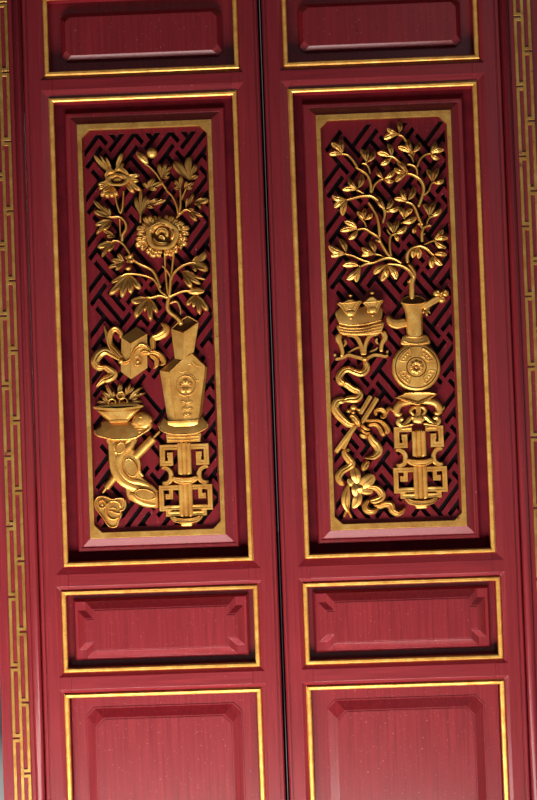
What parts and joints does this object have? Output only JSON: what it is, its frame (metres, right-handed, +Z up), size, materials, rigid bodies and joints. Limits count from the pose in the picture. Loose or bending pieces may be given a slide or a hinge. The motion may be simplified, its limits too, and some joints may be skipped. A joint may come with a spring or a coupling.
{
  "type": "carved temple door",
  "caption": "Pair of lacquered panelled door leaves on wooden pivots in their frame, with gilded carvings over a pierced diagonal fret.",
  "frame": {"origin": "middle of the threshold's underside, in the plane of the closed leaves' front faces", "axes": "+Z up, +Y into the building through the doorway, +X to the right as seen from the front"},
  "size_m": [1.2384, 0.147, 2.54],
  "materials": {
    "red_lacquer": "brushed oil lacquer, satin with some gloss",
    "gilding": "gold leaf over carved wood, worn at the edges",
    "black_ground": "matt black paint with a red rim",
    "pivot_wood": "oiled hardwood"
  },
  "bodies": {
    "frame": {"head": "red_lacquer", "left_jamb": "red_lacquer", "left_jamb_lattice": "gilding", "left_pivot_block": "pivot_wood", "pivot_beam": "pivot_wood", "right_jamb": "red_lacquer", "right_jamb_lattice": "gilding", "right_pivot_block": "pivot_wood", "threshold": "red_lacquer"},
    "left_leaf": {"left_bonsai_table": "gilding", "left_book_bundle": "gilding", "left_bottom_rail": "red_lacquer", "left_faceted_vase": "gilding", "left_fret_board": "red_lacquer", "left_gilt_fillet": "gilding", "left_heart_beads": "gilding", "left_heart_board": "black_ground", "left_heart_moulding": "red_lacquer", "left_hinge_stile": "red_lacquer", "left_lower_rail": "red_lacquer", "left_meeting_stile": "red_lacquer", "left_middle_beads": "gilding", "left_middle_panel": "red_lacquer", "left_middle_rail": "red_lacquer", "left_peony_branch": "gilding", "left_pivot_post": "pivot_wood", "left_ruyi_head": "gilding", "left_skirt_beads": "gilding", "left_skirt_panel": "red_lacquer", "left_top_rail": "red_lacquer", "left_upper_beads": "gilding", "left_upper_panel": "red_lacquer", "left_upper_rail": "red_lacquer", "left_vase_stand": "gilding"},
    "right_leaf": {"right_bottom_rail": "red_lacquer", "right_casket": "gilding", "right_clapper_ribbons": "gilding", "right_flask_stand": "gilding", "right_fret_board": "red_lacquer", "right_gilt_fillet": "gilding", "right_heart_beads": "gilding", "right_heart_board": "black_ground", "right_heart_moulding": "red_lacquer", "right_hinge_stile": "red_lacquer", "right_leafy_branch": "gilding", "right_lower_rail": "red_lacquer", "right_meeting_stile": "red_lacquer", "right_middle_beads": "gilding", "right_middle_panel": "red_lacquer", "right_middle_rail": "red_lacquer", "right_moon_flask": "gilding", "right_pivot_post": "pivot_wood", "right_skirt_beads": "gilding", "right_skirt_panel": "red_lacquer", "right_small_blossom": "gilding", "right_top_rail": "red_lacquer", "right_upper_beads": "gilding", "right_upper_panel": "red_lacquer", "right_upper_rail": "red_lacquer"}
  },
  "joints": [
    {"name": "left_leaf_swing", "type": "hinge", "parent": "frame", "child": "left_leaf", "pos_m": [-0.50925, 0.072, 1.2], "axis": [0, 0, 1], "range_deg": [0, 90]},
    {"name": "right_leaf_swing", "type": "hinge", "parent": "frame", "child": "right_leaf", "pos_m": [0.50925, 0.072, 1.2], "axis": [0, 0, -1], "range_deg": [0, 90]}
  ]
}
